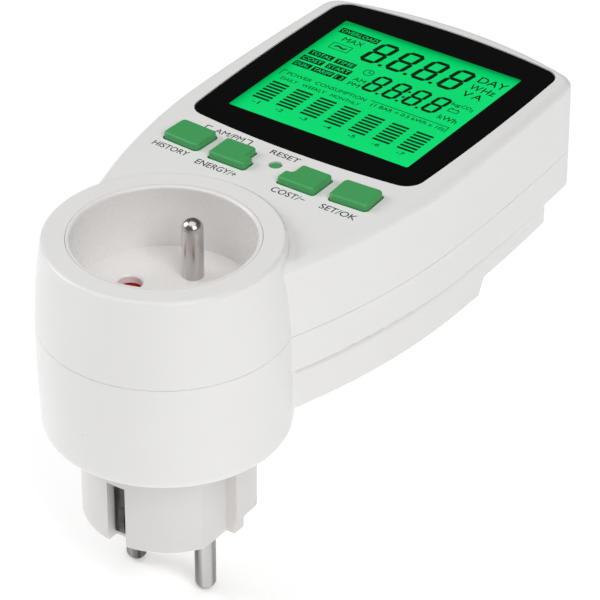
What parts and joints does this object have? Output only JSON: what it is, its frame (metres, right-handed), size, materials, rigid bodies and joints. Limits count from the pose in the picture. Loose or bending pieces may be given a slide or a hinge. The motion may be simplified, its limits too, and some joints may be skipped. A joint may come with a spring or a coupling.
{
  "type": "plug-in power meter",
  "caption": "Pass-through mains power meter: round earth-pin socket head with a matching plug behind, and a flat body with a backlit display and raised keys.",
  "frame": {"origin": "centre of the plug's flat face, midway between the two line pins", "axes": "+Z out of the socket and display face, +Y from the socket toward the display, +X in the display's reading direction"},
  "size_m": [0.0708, 0.1435, 0.088],
  "materials": {
    "casing_white": "satin white ABS",
    "insert_white": "satin white polycarbonate",
    "plug_white": "satin white thermoset",
    "window": "clear acrylic with a printed black border",
    "lcd": "liquid-crystal cell",
    "backlight": "green edge-lit light guide",
    "holder": "moulded frame",
    "elastomer": "striped elastomer",
    "board": "green solder-masked laminate",
    "silicone": "translucent silicone",
    "key_green": "green ABS, fine texture",
    "shutter_red": "red polyamide",
    "spring_steel": "spring wire",
    "block_grey": "off-white polyamide",
    "contact_brass": "stamped brass",
    "shunt_alloy": "manganin strip",
    "plated_pin": "nickel-plated brass",
    "screw_steel": "zinc-plated steel",
    "capacitor_yellow": "moulded case",
    "varistor_blue": "lacquered disc",
    "can_black": "shrink sleeve over aluminium",
    "header_black": "header with plated pins",
    "chip_black": "epoxy package",
    "battery_sleeve": "shrink-wrapped cells",
    "label_silver": "printed polyester"
  },
  "bodies": {
    "housing": {"front_casing": "casing_white", "rear_casing": "casing_white", "socket_insert": "insert_white", "plug_body": "plug_white", "display_window": "window", "lcd_glass": "lcd", "lcd_backlight": "backlight", "lcd_holder": "holder", "zebra_strip": "elastomer", "main_pcb": "board", "keypad_mat": "silicone", "shutter_spring": "spring_steel", "contact_block": "block_grey", "contact_left": "contact_brass", "contact_right": "contact_brass", "shunt": "shunt_alloy", "line_pin_left": "plated_pin", "line_pin_right": "plated_pin", "earth_pin": "plated_pin", "earth_strap": "contact_brass", "earth_sleeve": "contact_brass", "power_pcb": "board", "power_pcb_screws": "screw_steel", "x_capacitor": "capacitor_yellow", "varistor": "varistor_blue", "smoothing_capacitor": "can_black", "board_link": "header_black", "meter_chip": "chip_black", "backup_battery": "battery_sleeve", "pcb_screws": "screw_steel", "casing_screws": "screw_steel", "rating_label": "label_silver"},
    "key_history": {"key_history": "key_green"},
    "key_energy": {"key_energy": "key_green"},
    "key_cost": {"key_cost": "key_green"},
    "key_set": {"key_set": "key_green"},
    "reset_button": {"reset_button": "key_green"},
    "shutter": {"shutter": "shutter_red"}
  },
  "joints": [
    {"name": "key_history_press", "type": "slide", "parent": "housing", "child": "key_history", "axis": [0, 0, -1], "range_m": [0, 0.0008], "stiffness_N_per_m": 1200, "springref_m": -0.0003, "deforming": ["keypad_mat"]},
    {"name": "key_energy_press", "type": "slide", "parent": "housing", "child": "key_energy", "axis": [0, 0, -1], "range_m": [0, 0.0008], "stiffness_N_per_m": 1200, "springref_m": -0.0003, "deforming": ["keypad_mat"]},
    {"name": "key_cost_press", "type": "slide", "parent": "housing", "child": "key_cost", "axis": [0, 0, -1], "range_m": [0, 0.0008], "stiffness_N_per_m": 1200, "springref_m": -0.0003, "deforming": ["keypad_mat"]},
    {"name": "key_set_press", "type": "slide", "parent": "housing", "child": "key_set", "axis": [0, 0, -1], "range_m": [0, 0.0008], "stiffness_N_per_m": 1200, "springref_m": -0.0003, "deforming": ["keypad_mat"]},
    {"name": "reset_press", "type": "slide", "parent": "housing", "child": "reset_button", "axis": [0, 0, -1], "range_m": [0, 0.0004], "stiffness_N_per_m": 1200, "springref_m": -0.0003, "deforming": ["keypad_mat"]},
    {"name": "shutter_turn", "type": "hinge", "parent": "housing", "child": "shutter", "pos_m": [0, 0, 0.05075], "axis": [0, 0, 1], "range_deg": [0, 45], "stiffness_Nm_per_rad": 0.004, "springref_deg": -20.05, "deforming": ["shutter_spring"]}
  ]
}
